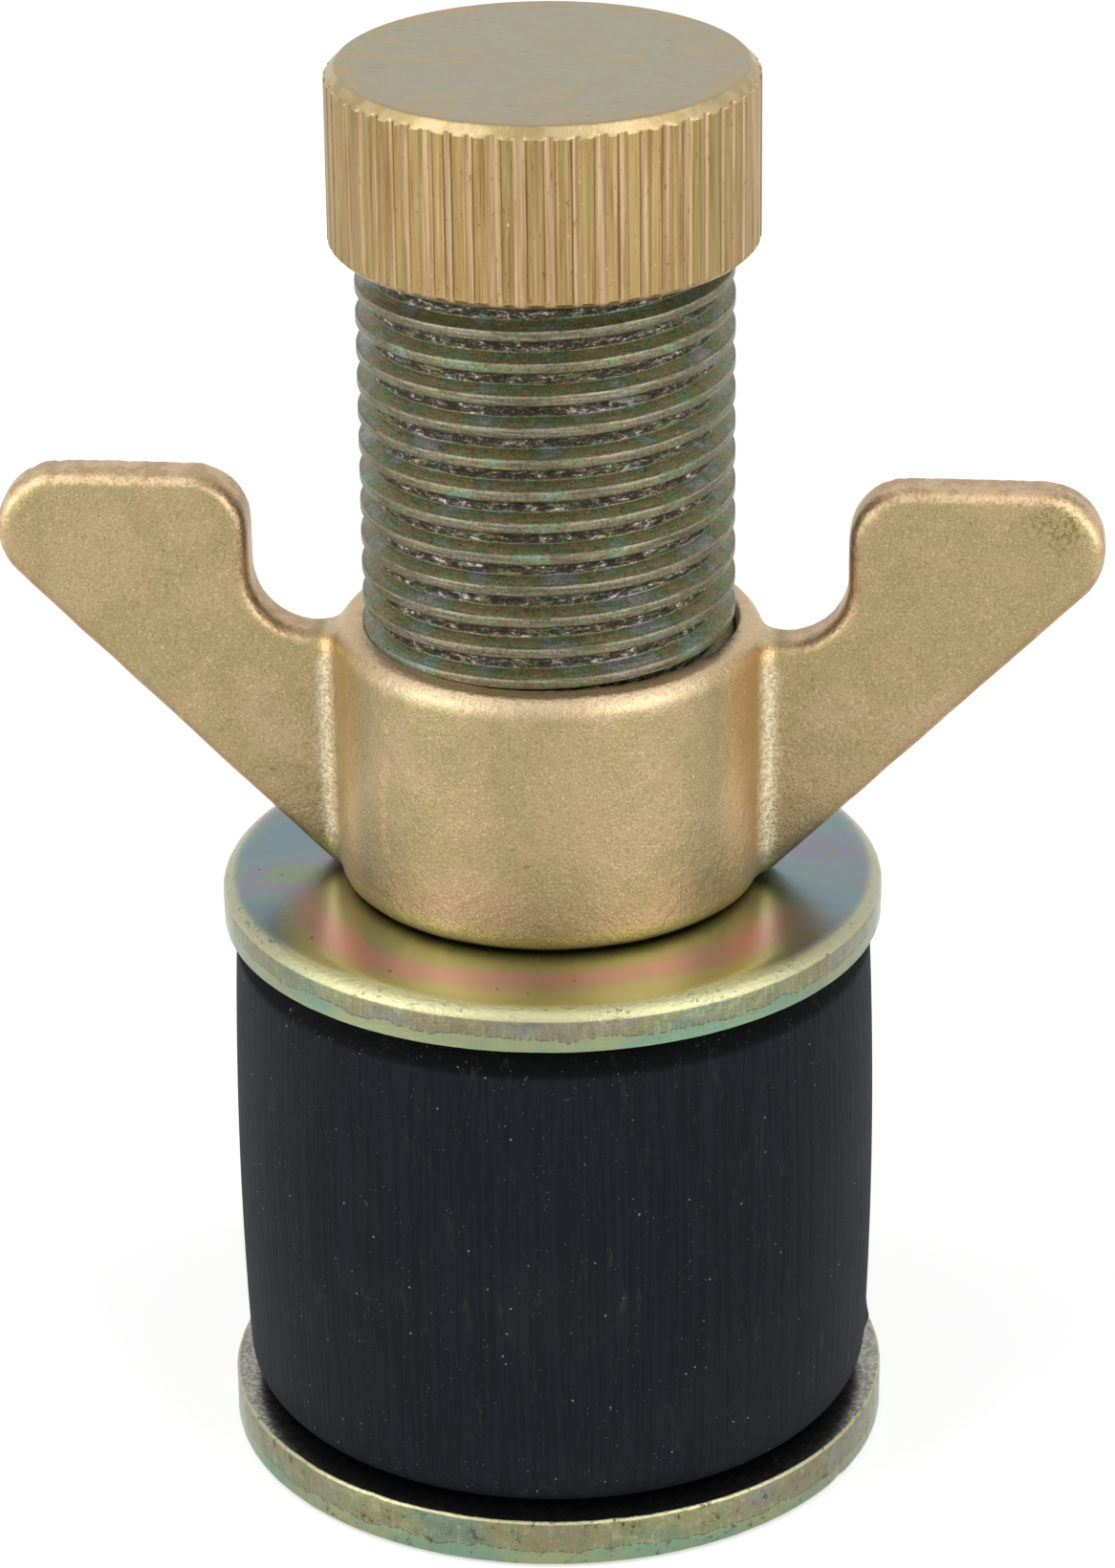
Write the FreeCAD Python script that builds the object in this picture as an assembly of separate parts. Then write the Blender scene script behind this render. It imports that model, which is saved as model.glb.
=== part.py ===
import FreeCAD, Part
import math
import os

# Pipe expansion plug for a 38 mm pipe, with a G 1/2 outlet through its spindle.
# Units are millimetres. The origin is the middle of the base plate's underside, on the
# spindle's axis. +Z points up the spindle, and the wings of the nut lie along X.
# Each piece is modelled where it sits with the plug slack, as it leaves the box.

# Base plate: a sheared steel disc at the foot of the spindle
base_plate_radius = 19.0
base_plate_thickness = 2.8
base_plate_edge_round = 0.25

# Rubber seal: a thick sleeve with a slight barrel, squeezed between the two plates
seal_length = 29.4
seal_middle_radius = 18.35
seal_end_radius = 18.05
seal_lower_corner = 2.2
seal_upper_corner = 1.0
seal_bore_clearance = 0.25

# Top plate: a punched washer that the nut pushes down
top_plate_radius = 18.7
top_plate_thickness = 2.6
top_plate_die_roll = 0.8
top_plate_hole_clearance = 0.35

# Spindle: a G 1/2 threaded tube, measured over the flat crests of its thread
spindle_crest_radius = 10.35
spindle_bore_radius = 7.6
spindle_top_height = 78.7
spindle_top_chamfer = 0.9
spindle_bore_chamfer = 0.5

# Thread of the spindle, cut shallow with flat crests. Here its turns are plain V rings, which
# the plain bores of nut and cap pass over; the helix is left to the dressed model.
thread_pitch = 25.4 / 14
thread_depth = 0.75
thread_crest_share = 0.3
thread_turns = 22

# Riveted end: the neck through the base plate, swaged out into a countersink
neck_radius = 8.9
neck_clearance = 0.05
swage_radius = 10.0
swage_depth = 1.3
swage_recess = 0.15

# Wing nut: a brass casting, its collar first
collar_height = 15.25
collar_radius = 12.0
collar_top_round = 1.2
collar_foot_chamfer = 0.45
nut_bore_clearance = 0.08
nut_mouth_chamfer = 0.45

# Wings, in the plane of the axis
wing_half_span = 30.75
wing_rise = 23.6
wing_thickness = 3.4
wing_edge_round = 1.0
wing_tip_radius = 3.6
wing_shoulder_radius = 3.3
wing_inner_reach = 16.6
wing_crook_radius = 3.6
wing_crook_height = 14.3
wing_underside_angle = 45.0
wing_root_fillet = 1.2
crook_trim_margin = 0.05

# Blanking cap: turned brass, straight-knurled, screwed on the spindle's upper end
cap_radius = 11.75
cap_height = 9.9
cap_top_thickness = 1.85
cap_rim_chamfer = 0.48
cap_foot_chamfer = 0.3
cap_bore_clearance = 0.08
knurl_count = 58
knurl_depth = 0.38

# Cap seal: the rubber washer that closes the spindle's mouth
washer_outer_clearance = 0.15
washer_inner_radius = 6.4
washer_thickness = 1.5

# Running gap between pieces that press on each other and move apart
seat_gap = 0.04

# Heights of the stack, worked out from the foot up
seal_foot = base_plate_thickness
seal_head = seal_foot + seal_length
top_plate_foot = seal_head + seat_gap
top_plate_head = top_plate_foot + top_plate_thickness
nut_foot = top_plate_head + seat_gap
washer_foot = spindle_top_height + seat_gap
washer_head = washer_foot + washer_thickness
cap_ceiling = washer_head + seat_gap
cap_head = cap_ceiling + cap_top_thickness
cap_foot = cap_head - cap_height

AXIS_START = FreeCAD.Vector(0, 0, 0)
AXIS = FreeCAD.Vector(0, 0, 1)


def at(radius, height):
    """A point of a section in the XZ plane."""
    return FreeCAD.Vector(radius, 0, height)


def line(start, end):
    return Part.LineSegment(start, end).toShape()


def arc_about(centre, radius, first_degrees, last_degrees):
    """An arc in the XZ plane; angles turn from +X towards +Z."""
    points = []
    for degrees in (first_degrees, (first_degrees + last_degrees) / 2, last_degrees):
        angle = math.radians(degrees)
        offset = at(radius * math.cos(angle), radius * math.sin(angle))
        points.append(centre + offset)
    return Part.Arc(*points).toShape()


def revolve(edges):
    """Turn a closed section round the axis into a solid."""
    section = Part.Face(Part.Wire(Part.__sortEdges__(edges)))
    return section.revolve(AXIS_START, AXIS, 360)


def turned(corners):
    """Turn a closed section of straight runs round the axis."""
    loop = corners + corners[:1]
    return revolve([line(at(*a), at(*b)) for a, b in zip(loop, loop[1:])])


def base_plate():
    hole = neck_radius + neck_clearance
    countersink = swage_radius + neck_clearance
    plate = turned([
        (hole, base_plate_thickness),
        (base_plate_radius, base_plate_thickness),
        (base_plate_radius, 0),
        (countersink, 0),
        (countersink, swage_recess),
        (hole, swage_depth),
    ])
    rims = [edge for edge in plate.Edges if is_ring(edge, base_plate_radius)]
    return plate.makeFillet(base_plate_edge_round, rims)


def is_ring(edge, radius):
    """True for a whole circle of this radius about the axis."""
    curve = edge.Curve
    return isinstance(curve, Part.Circle) and abs(curve.Radius - radius) < 1e-4


def rubber_seal():
    bore = spindle_crest_radius + seal_bore_clearance
    low = seal_lower_corner
    high = seal_upper_corner
    middle = (seal_foot + seal_head) / 2
    side_low = at(seal_end_radius, seal_foot + low)
    side_high = at(seal_end_radius, seal_head - high)
    return revolve([
        line(at(bore, seal_head), at(bore, seal_foot)),
        line(at(bore, seal_foot), at(seal_end_radius - low, seal_foot)),
        arc_about(at(seal_end_radius - low, seal_foot + low), low, -90, 0),
        Part.Arc(side_low, at(seal_middle_radius, middle), side_high).toShape(),
        arc_about(at(seal_end_radius - high, seal_head - high), high, 0, 90),
        line(at(seal_end_radius - high, seal_head), at(bore, seal_head)),
    ])


def top_plate():
    hole = spindle_crest_radius + top_plate_hole_clearance
    roll = top_plate_die_roll
    rim = top_plate_radius
    return revolve([
        line(at(hole, top_plate_head), at(hole, top_plate_foot)),
        line(at(hole, top_plate_foot), at(rim, top_plate_foot)),
        line(at(rim, top_plate_foot), at(rim, top_plate_head - roll)),
        arc_about(at(rim - roll, top_plate_head - roll), roll, 0, 90),
        line(at(rim - roll, top_plate_head), at(hole, top_plate_head)),
    ])


def thread_grooves():
    """Corners of the grooves between the crests, from the lowest up to the mouth."""
    opening = thread_pitch * (1 - thread_crest_share)
    root = spindle_crest_radius - thread_depth
    top = spindle_top_height - spindle_top_chamfer - thread_pitch * thread_crest_share / 2
    corners = []
    for turns_below_top in range(thread_turns, 0, -1):
        start = top - turns_below_top * thread_pitch
        corners += [
            (spindle_crest_radius, start),
            (root, start + opening / 2),
            (spindle_crest_radius, start + opening),
        ]
    return corners


def spindle():
    """The tube: its neck and swaged foot first, then the seat, the thread and the mouth."""
    return turned([
        (spindle_bore_radius, swage_recess),
        (swage_radius, swage_recess),
        (neck_radius, swage_depth),
        (neck_radius, base_plate_thickness),
        (spindle_crest_radius, base_plate_thickness),
        *thread_grooves(),
        (spindle_crest_radius, spindle_top_height - spindle_top_chamfer),
        (spindle_crest_radius - spindle_top_chamfer, spindle_top_height),
        (spindle_bore_radius + spindle_bore_chamfer, spindle_top_height),
        (spindle_bore_radius, spindle_top_height - spindle_bore_chamfer),
    ])


def wing():
    """The wing on the +X side: a flat blade with rounded edges, run on into the collar."""
    slope = math.radians(wing_underside_angle)
    inside = spindle_crest_radius / 2
    tip = at(wing_half_span - wing_tip_radius, nut_foot + wing_rise - wing_tip_radius)
    tip_low = tip + at(wing_tip_radius * math.sin(slope), -wing_tip_radius * math.cos(slope))
    inside_low = at(inside, tip_low.z - (tip_low.x - inside) * math.tan(slope))
    shoulder = at(wing_inner_reach + wing_shoulder_radius, tip.z + wing_tip_radius
                  - wing_shoulder_radius)
    crook_floor = nut_foot + wing_crook_height
    crook = at(wing_inner_reach - wing_crook_radius, crook_floor + wing_crook_radius)
    outline = [
        line(at(inside, crook_floor), inside_low),
        line(inside_low, tip_low),
        arc_about(tip, wing_tip_radius, wing_underside_angle - 90, 90),
        line(at(tip.x, tip.z + wing_tip_radius), at(shoulder.x, tip.z + wing_tip_radius)),
        arc_about(shoulder, wing_shoulder_radius, 90, 180),
        line(at(wing_inner_reach, shoulder.z), at(wing_inner_reach, crook.z)),
        arc_about(crook, wing_crook_radius, 0, -90),
        line(at(crook.x, crook_floor), at(inside, crook_floor)),
    ]
    face = Part.Face(Part.Wire(Part.__sortEdges__(outline)))
    face.translate(FreeCAD.Vector(0, wing_thickness / 2, 0))
    blade = face.extrude(FreeCAD.Vector(0, -wing_thickness, 0))
    rims = []
    for edge in blade.Edges:
        lies_on_a_side = edge.BoundBox.YLength < 1e-6
        if lies_on_a_side and edge.BoundBox.XMax > inside + 1e-3:
            rims.append(edge)
    return blade.makeFillet(wing_edge_round, rims)


def is_wing_root(edge):
    """True for the edges round the place where a blade runs into the collar."""
    for point in edge.discretize(5):
        on_collar = abs(math.hypot(point.x, point.y) - collar_radius) < 1e-3
        if not on_collar or abs(point.y) > wing_thickness / 2 + 1e-3:
            return False
    upright = edge.BoundBox.YLength < 1e-3
    is_seam = upright and abs(edge.BoundBox.YMax) < 1e-3
    return not is_seam


def wing_nut():
    """Blades and an overlong collar are blended first, then its ends are cut to length."""
    foot = nut_foot
    top = nut_foot + collar_height
    collar = Part.makeCylinder(collar_radius, 3 * collar_height, at(0, foot - collar_height))
    blade = wing()
    other = blade.copy()
    other.rotate(AXIS_START, AXIS, 180)
    casting = collar.fuse([blade, other])
    roots = [edge for edge in casting.Edges if is_wing_root(edge)]
    casting = casting.makeFillet(wing_root_fillet, roots)

    # Above the collar only the wings stay, from the floor of their crook outwards
    rounding = collar_top_round
    crook_floor = foot + wing_crook_height + crook_trim_margin
    crook_start = wing_inner_reach - wing_crook_radius
    shoulder = at(collar_radius, top - rounding)
    sky = top + 2 * wing_rise
    above = revolve([
        line(at(0, sky), at(0, top)),
        line(at(0, top), at(collar_radius - rounding, top)),
        arc_about(at(collar_radius - rounding, top - rounding), rounding, 0, 90),
        line(shoulder, at(collar_radius + crook_floor - shoulder.z, crook_floor)),
        line(at(collar_radius + crook_floor - shoulder.z, crook_floor),
             at(crook_start, crook_floor)),
        line(at(crook_start, crook_floor), at(crook_start, sky)),
        line(at(crook_start, sky), at(0, sky)),
    ])
    reach = 2 * wing_half_span
    below = Part.makeBox(2 * reach, 2 * reach, reach, at(-reach, foot - reach)
                         - FreeCAD.Vector(0, reach, 0))
    casting = casting.cut([above, below])
    foot_rim = [edge for edge in casting.Edges if lies_at(edge, foot)]
    casting = casting.makeChamfer(collar_foot_chamfer, foot_rim)
    bore = spindle_crest_radius + nut_bore_clearance
    mouth = bore + nut_mouth_chamfer
    hole = turned([
        (0, foot - 1),
        (mouth, foot - 1),
        (mouth, foot),
        (bore, foot + nut_mouth_chamfer),
        (bore, top - nut_mouth_chamfer),
        (mouth, top),
        (mouth, top + 1),
        (0, top + 1),
    ])
    return casting.cut(hole)


def lies_at(edge, height):
    """True for an edge that lies flat at this height."""
    box = edge.BoundBox
    return box.ZLength < 1e-3 and abs(box.ZMax - height) < 1e-3


def blanking_cap():
    bore = spindle_crest_radius + cap_bore_clearance
    body = turned([
        (0, cap_ceiling),
        (bore, cap_ceiling),
        (bore, cap_foot + cap_foot_chamfer),
        (bore + cap_foot_chamfer, cap_foot),
        (cap_radius - cap_foot_chamfer, cap_foot),
        (cap_radius, cap_foot + cap_foot_chamfer),
        (cap_radius, cap_head - cap_rim_chamfer),
        (cap_radius - cap_rim_chamfer, cap_head),
        (0, cap_head),
    ])
    half_pitch = math.pi * cap_radius / knurl_count
    beyond = 2 * knurl_depth
    half_width = half_pitch * (knurl_depth + beyond) / knurl_depth
    corners = [
        FreeCAD.Vector(cap_radius - knurl_depth, 0, cap_foot - 1),
        FreeCAD.Vector(cap_radius + beyond, half_width, cap_foot - 1),
        FreeCAD.Vector(cap_radius + beyond, -half_width, cap_foot - 1),
    ]
    groove = Part.Face(Part.makePolygon(corners + corners[:1]))
    groove = groove.extrude(FreeCAD.Vector(0, 0, cap_height + 2))
    grooves = []
    for number in range(knurl_count):
        copy = groove.copy()
        copy.rotate(AXIS_START, AXIS, 360.0 * number / knurl_count)
        grooves.append(copy)
    return body.cut(grooves)


def cap_seal():
    outer = spindle_crest_radius + cap_bore_clearance - washer_outer_clearance
    return turned([
        (washer_inner_radius, washer_foot),
        (outer, washer_foot),
        (outer, washer_head),
        (washer_inner_radius, washer_head),
    ])


os.makedirs("parts", exist_ok=True)
pieces = {
    "base_plate": base_plate(),
    "rubber_seal": rubber_seal(),
    "top_plate": top_plate(),
    "spindle": spindle(),
    "wing_nut": wing_nut(),
    "blanking_cap": blanking_cap(),
    "cap_seal": cap_seal(),
}
for name, shape in pieces.items():
    solid = shape.Solids[0]
    solid.exportStep("parts/" + name + ".step")
    print(name, "solids", len(shape.Solids), "valid", solid.isValid(),
          "volume", round(solid.Volume, 1), "faces", len(solid.Faces))
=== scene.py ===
import math

import bmesh
import bpy
import numpy as np
from mathutils import Matrix, Vector, noise


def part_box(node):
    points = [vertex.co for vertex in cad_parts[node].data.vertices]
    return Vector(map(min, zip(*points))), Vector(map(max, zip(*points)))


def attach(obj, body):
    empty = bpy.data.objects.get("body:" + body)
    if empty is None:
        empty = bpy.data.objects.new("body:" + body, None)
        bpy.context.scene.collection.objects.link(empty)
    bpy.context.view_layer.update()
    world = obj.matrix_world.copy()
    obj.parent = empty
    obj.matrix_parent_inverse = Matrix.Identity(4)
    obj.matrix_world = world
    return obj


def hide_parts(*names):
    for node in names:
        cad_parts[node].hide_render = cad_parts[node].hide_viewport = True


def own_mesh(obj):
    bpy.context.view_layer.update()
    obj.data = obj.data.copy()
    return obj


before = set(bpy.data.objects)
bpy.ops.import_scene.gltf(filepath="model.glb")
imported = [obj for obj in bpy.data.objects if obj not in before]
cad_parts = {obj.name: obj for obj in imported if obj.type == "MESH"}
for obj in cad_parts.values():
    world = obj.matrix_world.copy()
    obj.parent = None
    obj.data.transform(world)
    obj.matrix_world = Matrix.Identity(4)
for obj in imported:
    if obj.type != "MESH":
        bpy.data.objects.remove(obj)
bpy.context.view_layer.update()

MM = 0.001

# Camera, fitted to the rims in the photograph: millimetres and radians
CAMERA_REACH = 286.75
CAMERA_HEIGHT = 171.33
CAMERA_TARGET_HEIGHT = 39.72
CAMERA_AZIMUTH = math.radians(5.3)
CAMERA_YAW = 0.0011
CAMERA_ROLL = -0.0125
CAMERA_LENS = 128.3
SENSOR_WIDTH = 36.0

# Floor and surroundings: metres, and strengths
FLOOR_REACH = 3.0
FLOOR_DROP = 0.0002
FLOOR_GLOW_STARTS = 0.25
FLOOR_GLOW_ENDS = 0.9
FLOOR_GLOW_NEAR = 0.45
FLOOR_GLOW_FAR = 0.72
WORLD_LIGHT = 0.4
LAMP_AIM = 0.04

# Thread of the spindle, a G 1/2 pipe thread cut shallow
THREAD_PITCH = 1.8143
THREAD_DEPTH = 0.75
THREAD_COLUMNS = 240
THREAD_END = 24.0
TORN_ROUGHNESS = 0.07
# Phase within a turn against share of the depth, from the middle of one crest to the next
THREAD_FORM = (
    (0.0, 0.0), (0.115, 0.0), (0.145, 0.03), (0.165, 0.12), (0.345, 0.93), (0.375, 1.0),
    (0.5, 1.0), (0.625, 1.0), (0.655, 0.93), (0.835, 0.12), (0.855, 0.03), (0.885, 0.0),
)

# Spindle ends, as on the solid
SPINDLE_BORE = 7.6
SPINDLE_BORE_CHAMFER = 0.5
SPINDLE_TOP_CHAMFER = 0.9
NECK_RADIUS = 8.9
SWAGE_RADIUS = 10.0
SWAGE_DEPTH = 1.3

# Cap details
CAP_RIM_CHAMFER = 0.62
CAP_FOOT_CHAMFER = 0.3
CAP_BORE = 10.43
FLUTES = 57
FLUTE_DEPTH = 0.24
FLUTE_FLOOR = ((0.08, 0.4), (0.22, 0.78), (0.5, 1.0), (0.78, 0.78), (0.92, 0.4))

# Rubber sleeve: its corners and the torn lip on its right, in degrees from +X
SLEEVE_END_RADIUS = 18.05
SLEEVE_LOW_CORNER = 2.2
SLEEVE_HIGH_DROP = 1.6
SLEEVE_HIGH_STEP = 0.95
SLEEVE_ROWS = 48
SLEEVE_COLUMNS = 320
RUBBER_SPECULAR = 0.06
NICK_ANGLE = 2.0
NICK_HEIGHT = 5.6
NICK_PROUD = 0.24
NICK_WIDTH = 0.7
NICK_REACH = 0.55

# Plates: the washer's upper edge is rolled, the base disc's edges are only broken
PLATE_COLUMNS = 360
WASHER_HOLE_GAP = 0.35
WASHER_ROLL = 0.8
WASHER_ROLL_STRETCH = 2.0
WASHER_TEAR = 0.05
WASHER_DENT = 0.03
BASE_EDGE = 0.2
BASE_DENT = 0.05
BASE_NOTCH = 0.25
FIT_GAP = 0.05

# Nut casting
NUT_VOXEL = 0.25
NUT_SMOOTHINGS = 6
NUT_BORE = 10.43
NUT_COLLAR_HEAD = 50.13
COLLAR_RADIUS = 12.2
CAST_RELIEF = 0.035
CAST_SHRINK = 0.03
BORE_CLEARANCE = 0.04
WING_CREST_BAND = 0.6
WING_CREST_WEAR = 0.12
MOUTH_DEPTH = 1.2
MOUTH_WALL = 0.75
MOUTH_GAP = 0.03
MOUTH_CLOSED_AT = math.radians(-110)


def corners(node):
    """A node's lowest and highest corners in millimetres."""
    low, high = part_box(node)
    return [c / MM for c in low], [c / MM for c in high]


(_, _, BASE_FOOT), (BASE_RADIUS, _, BASE_HEAD) = corners("base_plate")
(_, _, SEAL_FOOT), (SEAL_RADIUS, _, SEAL_HEAD) = corners("rubber_seal")
(_, _, PLATE_FOOT), (PLATE_RADIUS, _, PLATE_HEAD) = corners("top_plate")
(_, _, SPINDLE_FOOT), (CREST_RADIUS, _, SPINDLE_HEAD) = corners("spindle")
(_, _, NUT_FOOT), (WING_REACH, _, WING_HEAD) = corners("wing_nut")
(_, _, CAP_FOOT), (CAP_RADIUS, _, CAP_HEAD) = corners("blanking_cap")
_, (_, _, WASHER_HEAD) = corners("cap_seal")


def srgb(red, green, blue):
    """A colour written 0 to 255 as it looks on a screen, as the linear value shaders use."""
    linear = []
    for value in (red, green, blue):
        share = value / 255
        if share <= 0.04045:
            linear.append(share / 12.92)
        else:
            linear.append(((share + 0.055) / 1.055) ** 2.4)
    return (*linear, 1.0)


class Look:
    """A procedural material, built on object coordinates in millimetres."""

    def __init__(self, name, metallic, roughness):
        self.material = bpy.data.materials.new(name)
        self.material.use_nodes = True
        self.tree = self.material.node_tree
        self.shader = self.tree.nodes["Principled BSDF"]
        self.shader.inputs["Metallic"].default_value = metallic
        self.shader.inputs["Roughness"].default_value = roughness
        coordinates = self.tree.nodes.new("ShaderNodeTexCoord")
        per_metre = (1 / MM, 1 / MM, 1 / MM)
        self.position = self.vector_math("MULTIPLY", coordinates.outputs["Object"], per_metre)
        self.normal = coordinates.outputs["Normal"]
        self.bumps = None

    def link(self, value, socket):
        """Joins an output to an input, or sets a plain value on it."""
        if isinstance(value, bpy.types.NodeSocket):
            self.tree.links.new(value, socket)
        else:
            socket.default_value = value

    def vector_math(self, operation, first, second):
        node = self.tree.nodes.new("ShaderNodeVectorMath")
        node.operation = operation
        self.link(first, node.inputs[0])
        self.link(second, node.inputs[1])
        if operation in ("LENGTH", "DOT_PRODUCT"):
            return node.outputs["Value"]
        return node.outputs["Vector"]

    def math(self, operation, first, second=0.0):
        node = self.tree.nodes.new("ShaderNodeMath")
        node.operation = operation
        self.link(first, node.inputs[0])
        self.link(second, node.inputs[1])
        return node.outputs[0]

    def stretched(self, x, y, z):
        """Object coordinates with each axis scaled: a small value draws a noise out along it."""
        return self.vector_math("MULTIPLY", self.position, (x, y, z))

    def noise(self, scale=1.0, vector=None, detail=3.0, roughness=0.5, distortion=0.0):
        node = self.tree.nodes.new("ShaderNodeTexNoise")
        self.link(vector if vector is not None else self.position, node.inputs["Vector"])
        node.inputs["Scale"].default_value = scale
        node.inputs["Detail"].default_value = detail
        node.inputs["Roughness"].default_value = roughness
        node.inputs["Distortion"].default_value = distortion
        return node.outputs["Fac"]

    def specks(self, scale, size):
        """1 in small dots scattered over the surface and 0 elsewhere."""
        node = self.tree.nodes.new("ShaderNodeTexVoronoi")
        self.link(self.position, node.inputs["Vector"])
        node.inputs["Scale"].default_value = scale
        return self.span(node.outputs["Distance"], size, size * 0.4)

    def span(self, value, start, end):
        """0 where value is at start and 1 where it is at end, smooth and clamped between."""
        node = self.tree.nodes.new("ShaderNodeMapRange")
        node.interpolation_type = "SMOOTHSTEP"
        self.link(value, node.inputs["Value"])
        node.inputs["From Min"].default_value = start
        node.inputs["From Max"].default_value = end
        return node.outputs["Result"]

    def mix(self, share, first, second):
        node = self.tree.nodes.new("ShaderNodeMix")
        node.data_type = "RGBA"
        self.link(share, node.inputs["Factor"])
        self.link(first, node.inputs["A"])
        self.link(second, node.inputs["B"])
        return node.outputs["Result"]

    def ramp(self, value, stops):
        """A colour ramp through (place, colour) stops."""
        node = self.tree.nodes.new("ShaderNodeValToRGB")
        self.link(value, node.inputs["Fac"])
        elements = node.color_ramp.elements
        while len(elements) < len(stops):
            elements.new(0.5)
        for element, (place, colour) in zip(elements, stops):
            element.position = place
            element.color = colour
        return node.outputs["Color"]

    def axes(self):
        node = self.tree.nodes.new("ShaderNodeSeparateXYZ")
        self.link(self.position, node.inputs[0])
        return node.outputs["X"], node.outputs["Y"], node.outputs["Z"]

    def radius(self):
        """Distance from the spindle's axis in millimetres."""
        flat = self.stretched(1, 1, 0)
        return self.vector_math("LENGTH", flat, (0, 0, 0))

    def facing_up(self):
        """How far the surface faces up: 1 on a top face, 0 on a wall, -1 underneath."""
        geometry = self.tree.nodes.new("ShaderNodeNewGeometry")
        return self.vector_math("DOT_PRODUCT", geometry.outputs["Normal"], (0, 0, 1))

    def facing_across(self):
        """How far the surface faces along the object's own Y: 1 on a wing's flat sides."""
        return self.math("ABSOLUTE", self.vector_math("DOT_PRODUCT", self.normal, (0, 1, 0)))

    def pointiness(self):
        """Above a half on convex edges and under a half in hollows."""
        geometry = self.tree.nodes.new("ShaderNodeNewGeometry")
        return geometry.outputs["Pointiness"]

    def colour(self, value):
        self.link(value, self.shader.inputs["Base Color"])

    def bump(self, height, depth):
        """Adds a bump of this depth in millimetres to the ones before it."""
        node = self.tree.nodes.new("ShaderNodeBump")
        node.inputs["Distance"].default_value = depth * MM
        self.link(height, node.inputs["Height"])
        if self.bumps is not None:
            self.link(self.bumps, node.inputs["Normal"])
        self.bumps = node.outputs["Normal"]
        self.link(self.bumps, self.shader.inputs["Normal"])

    def both(self, first, second):
        """The product of two shares."""
        return self.math("MULTIPLY", first, second)

    def strength(self, value, amount):
        return self.math("MULTIPLY", value, amount)

    def over(self, tone, share, amount, colour):
        """The tone with a colour laid over it at this strength, where the share is 1."""
        return self.mix(self.strength(share, amount), tone, colour)


def cast_brass():
    """Blasted brass: a fine grain, its bright flecks painted glints, over tones that drift from olive
    to warm brown.
    """
    look = Look("cast_brass", 1.0, 0.4)
    tone = look.ramp(look.noise(0.16, detail=3), (
        (0.38, srgb(162, 142, 104)),
        (0.5, srgb(152, 138, 98)),
        (0.62, srgb(164, 144, 108)),
    ))
    rough = look.noise(3.5, detail=4, roughness=0.7)
    tone = collar_tints(look, tone, rough)
    tone = wing_edge_tints(look, tone, rough)
    grain = look.noise(8.0, detail=4, roughness=0.6)
    tone = look.over(tone, look.span(grain, 0.48, 0.34), 0.45, srgb(104, 88, 56))
    # Painted glints: the grain's bright flecks.
    tone = look.over(tone, look.span(grain, 0.56, 0.7), 0.5, srgb(212, 198, 164))
    tone = look.over(tone, pitted_corner(look, rough), 0.6, srgb(96, 78, 46))
    stain = look.span(look.noise(0.8, detail=5, roughness=0.75), 0.65, 0.72)
    tone = look.over(tone, stain, 0.55, srgb(112, 84, 54))
    look.colour(tone)
    look.bump(look.noise(1.8, detail=4, roughness=0.65), 0.06)
    look.bump(grain, 0.025)
    return look.material


def collar_tints(look, tone, rough):
    """The collar carries a painted warm reflection of the wings beside them, a painted pinkish
    highlight on its rim, a painted yellow reflection of the plate at its foot, and a pale, rough
    painted highlight in the fillets where the wings start."""
    x, _, height = look.axes()
    near = look.radius()
    # Painted reflection: the wings' warm light on the collar beside them.
    beside = look.span(look.math("ABSOLUTE", x), 9.6, 11.0)
    beside = look.both(beside, look.span(near, COLLAR_RADIUS + 0.8, COLLAR_RADIUS + 0.1))
    tone = look.over(tone, beside, 0.55, srgb(222, 184, 130))
    # Painted highlight: the pinkish band along the collar's rounded rim.
    rim = look.span(height, NUT_COLLAR_HEAD - 1.5, NUT_COLLAR_HEAD - 0.4)
    rim = look.both(rim, look.span(near, COLLAR_RADIUS + 0.7, COLLAR_RADIUS))
    tone = look.over(tone, rim, 0.65, srgb(206, 184, 152))
    # Painted reflection: the yellow plate seen in the collar's foot.
    foot = look.span(height, NUT_FOOT + 1.7, NUT_FOOT + 0.7)
    tone = look.over(tone, foot, 0.55, srgb(166, 150, 78))
    # Painted highlight: the pale strip in the fillets where the wings start.
    hollow = look.span(look.pointiness(), 0.5, 0.487)
    hollow = look.both(hollow, look.span(near, COLLAR_RADIUS - 0.6, COLLAR_RADIUS + 0.2))
    fillet_highlight = look.mix(look.span(rough, 0.4, 0.6), srgb(168, 154, 122), srgb(208, 200, 170))
    return look.over(tone, hollow, 0.85, fillet_highlight)


def wing_edge_tints(look, tone, rough):
    """The wings' narrow sides are warmer and burnished, with a painted highlight along their upper
    bevels and painted shade, browner, underneath."""
    wings = look.span(look.radius(), COLLAR_RADIUS + 0.7, COLLAR_RADIUS + 1.8)
    flank = look.facing_across()
    up = look.facing_up()
    narrow = look.both(look.span(flank, 0.94, 0.7), wings)
    tone = look.over(tone, narrow, 0.7, srgb(190, 158, 122))
    worn = look.noise(0.7, detail=4, roughness=0.65)
    burnished = look.both(narrow, look.span(worn, 0.44, 0.58))
    tone = look.over(tone, burnished, 0.6, srgb(216, 188, 150))
    bevel = look.both(look.span(flank, 0.97, 0.82), look.span(flank, 0.3, 0.55))
    bevel = look.both(bevel, wings)
    # Painted highlight on the bevels that face up.
    lit = look.both(look.span(up, 0.0, 0.25), look.span(rough, 0.36, 0.56))
    tone = look.over(tone, look.both(bevel, lit), 0.6, srgb(228, 198, 156))
    # Painted shade on the bevels that face down.
    under = look.both(bevel, look.span(up, -0.1, -0.35))
    tone = look.over(tone, under, 0.6, srgb(146, 112, 72))
    edges = look.span(look.pointiness(), 0.515, 0.56)
    return look.over(tone, edges, 0.35, srgb(198, 164, 124))


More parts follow.
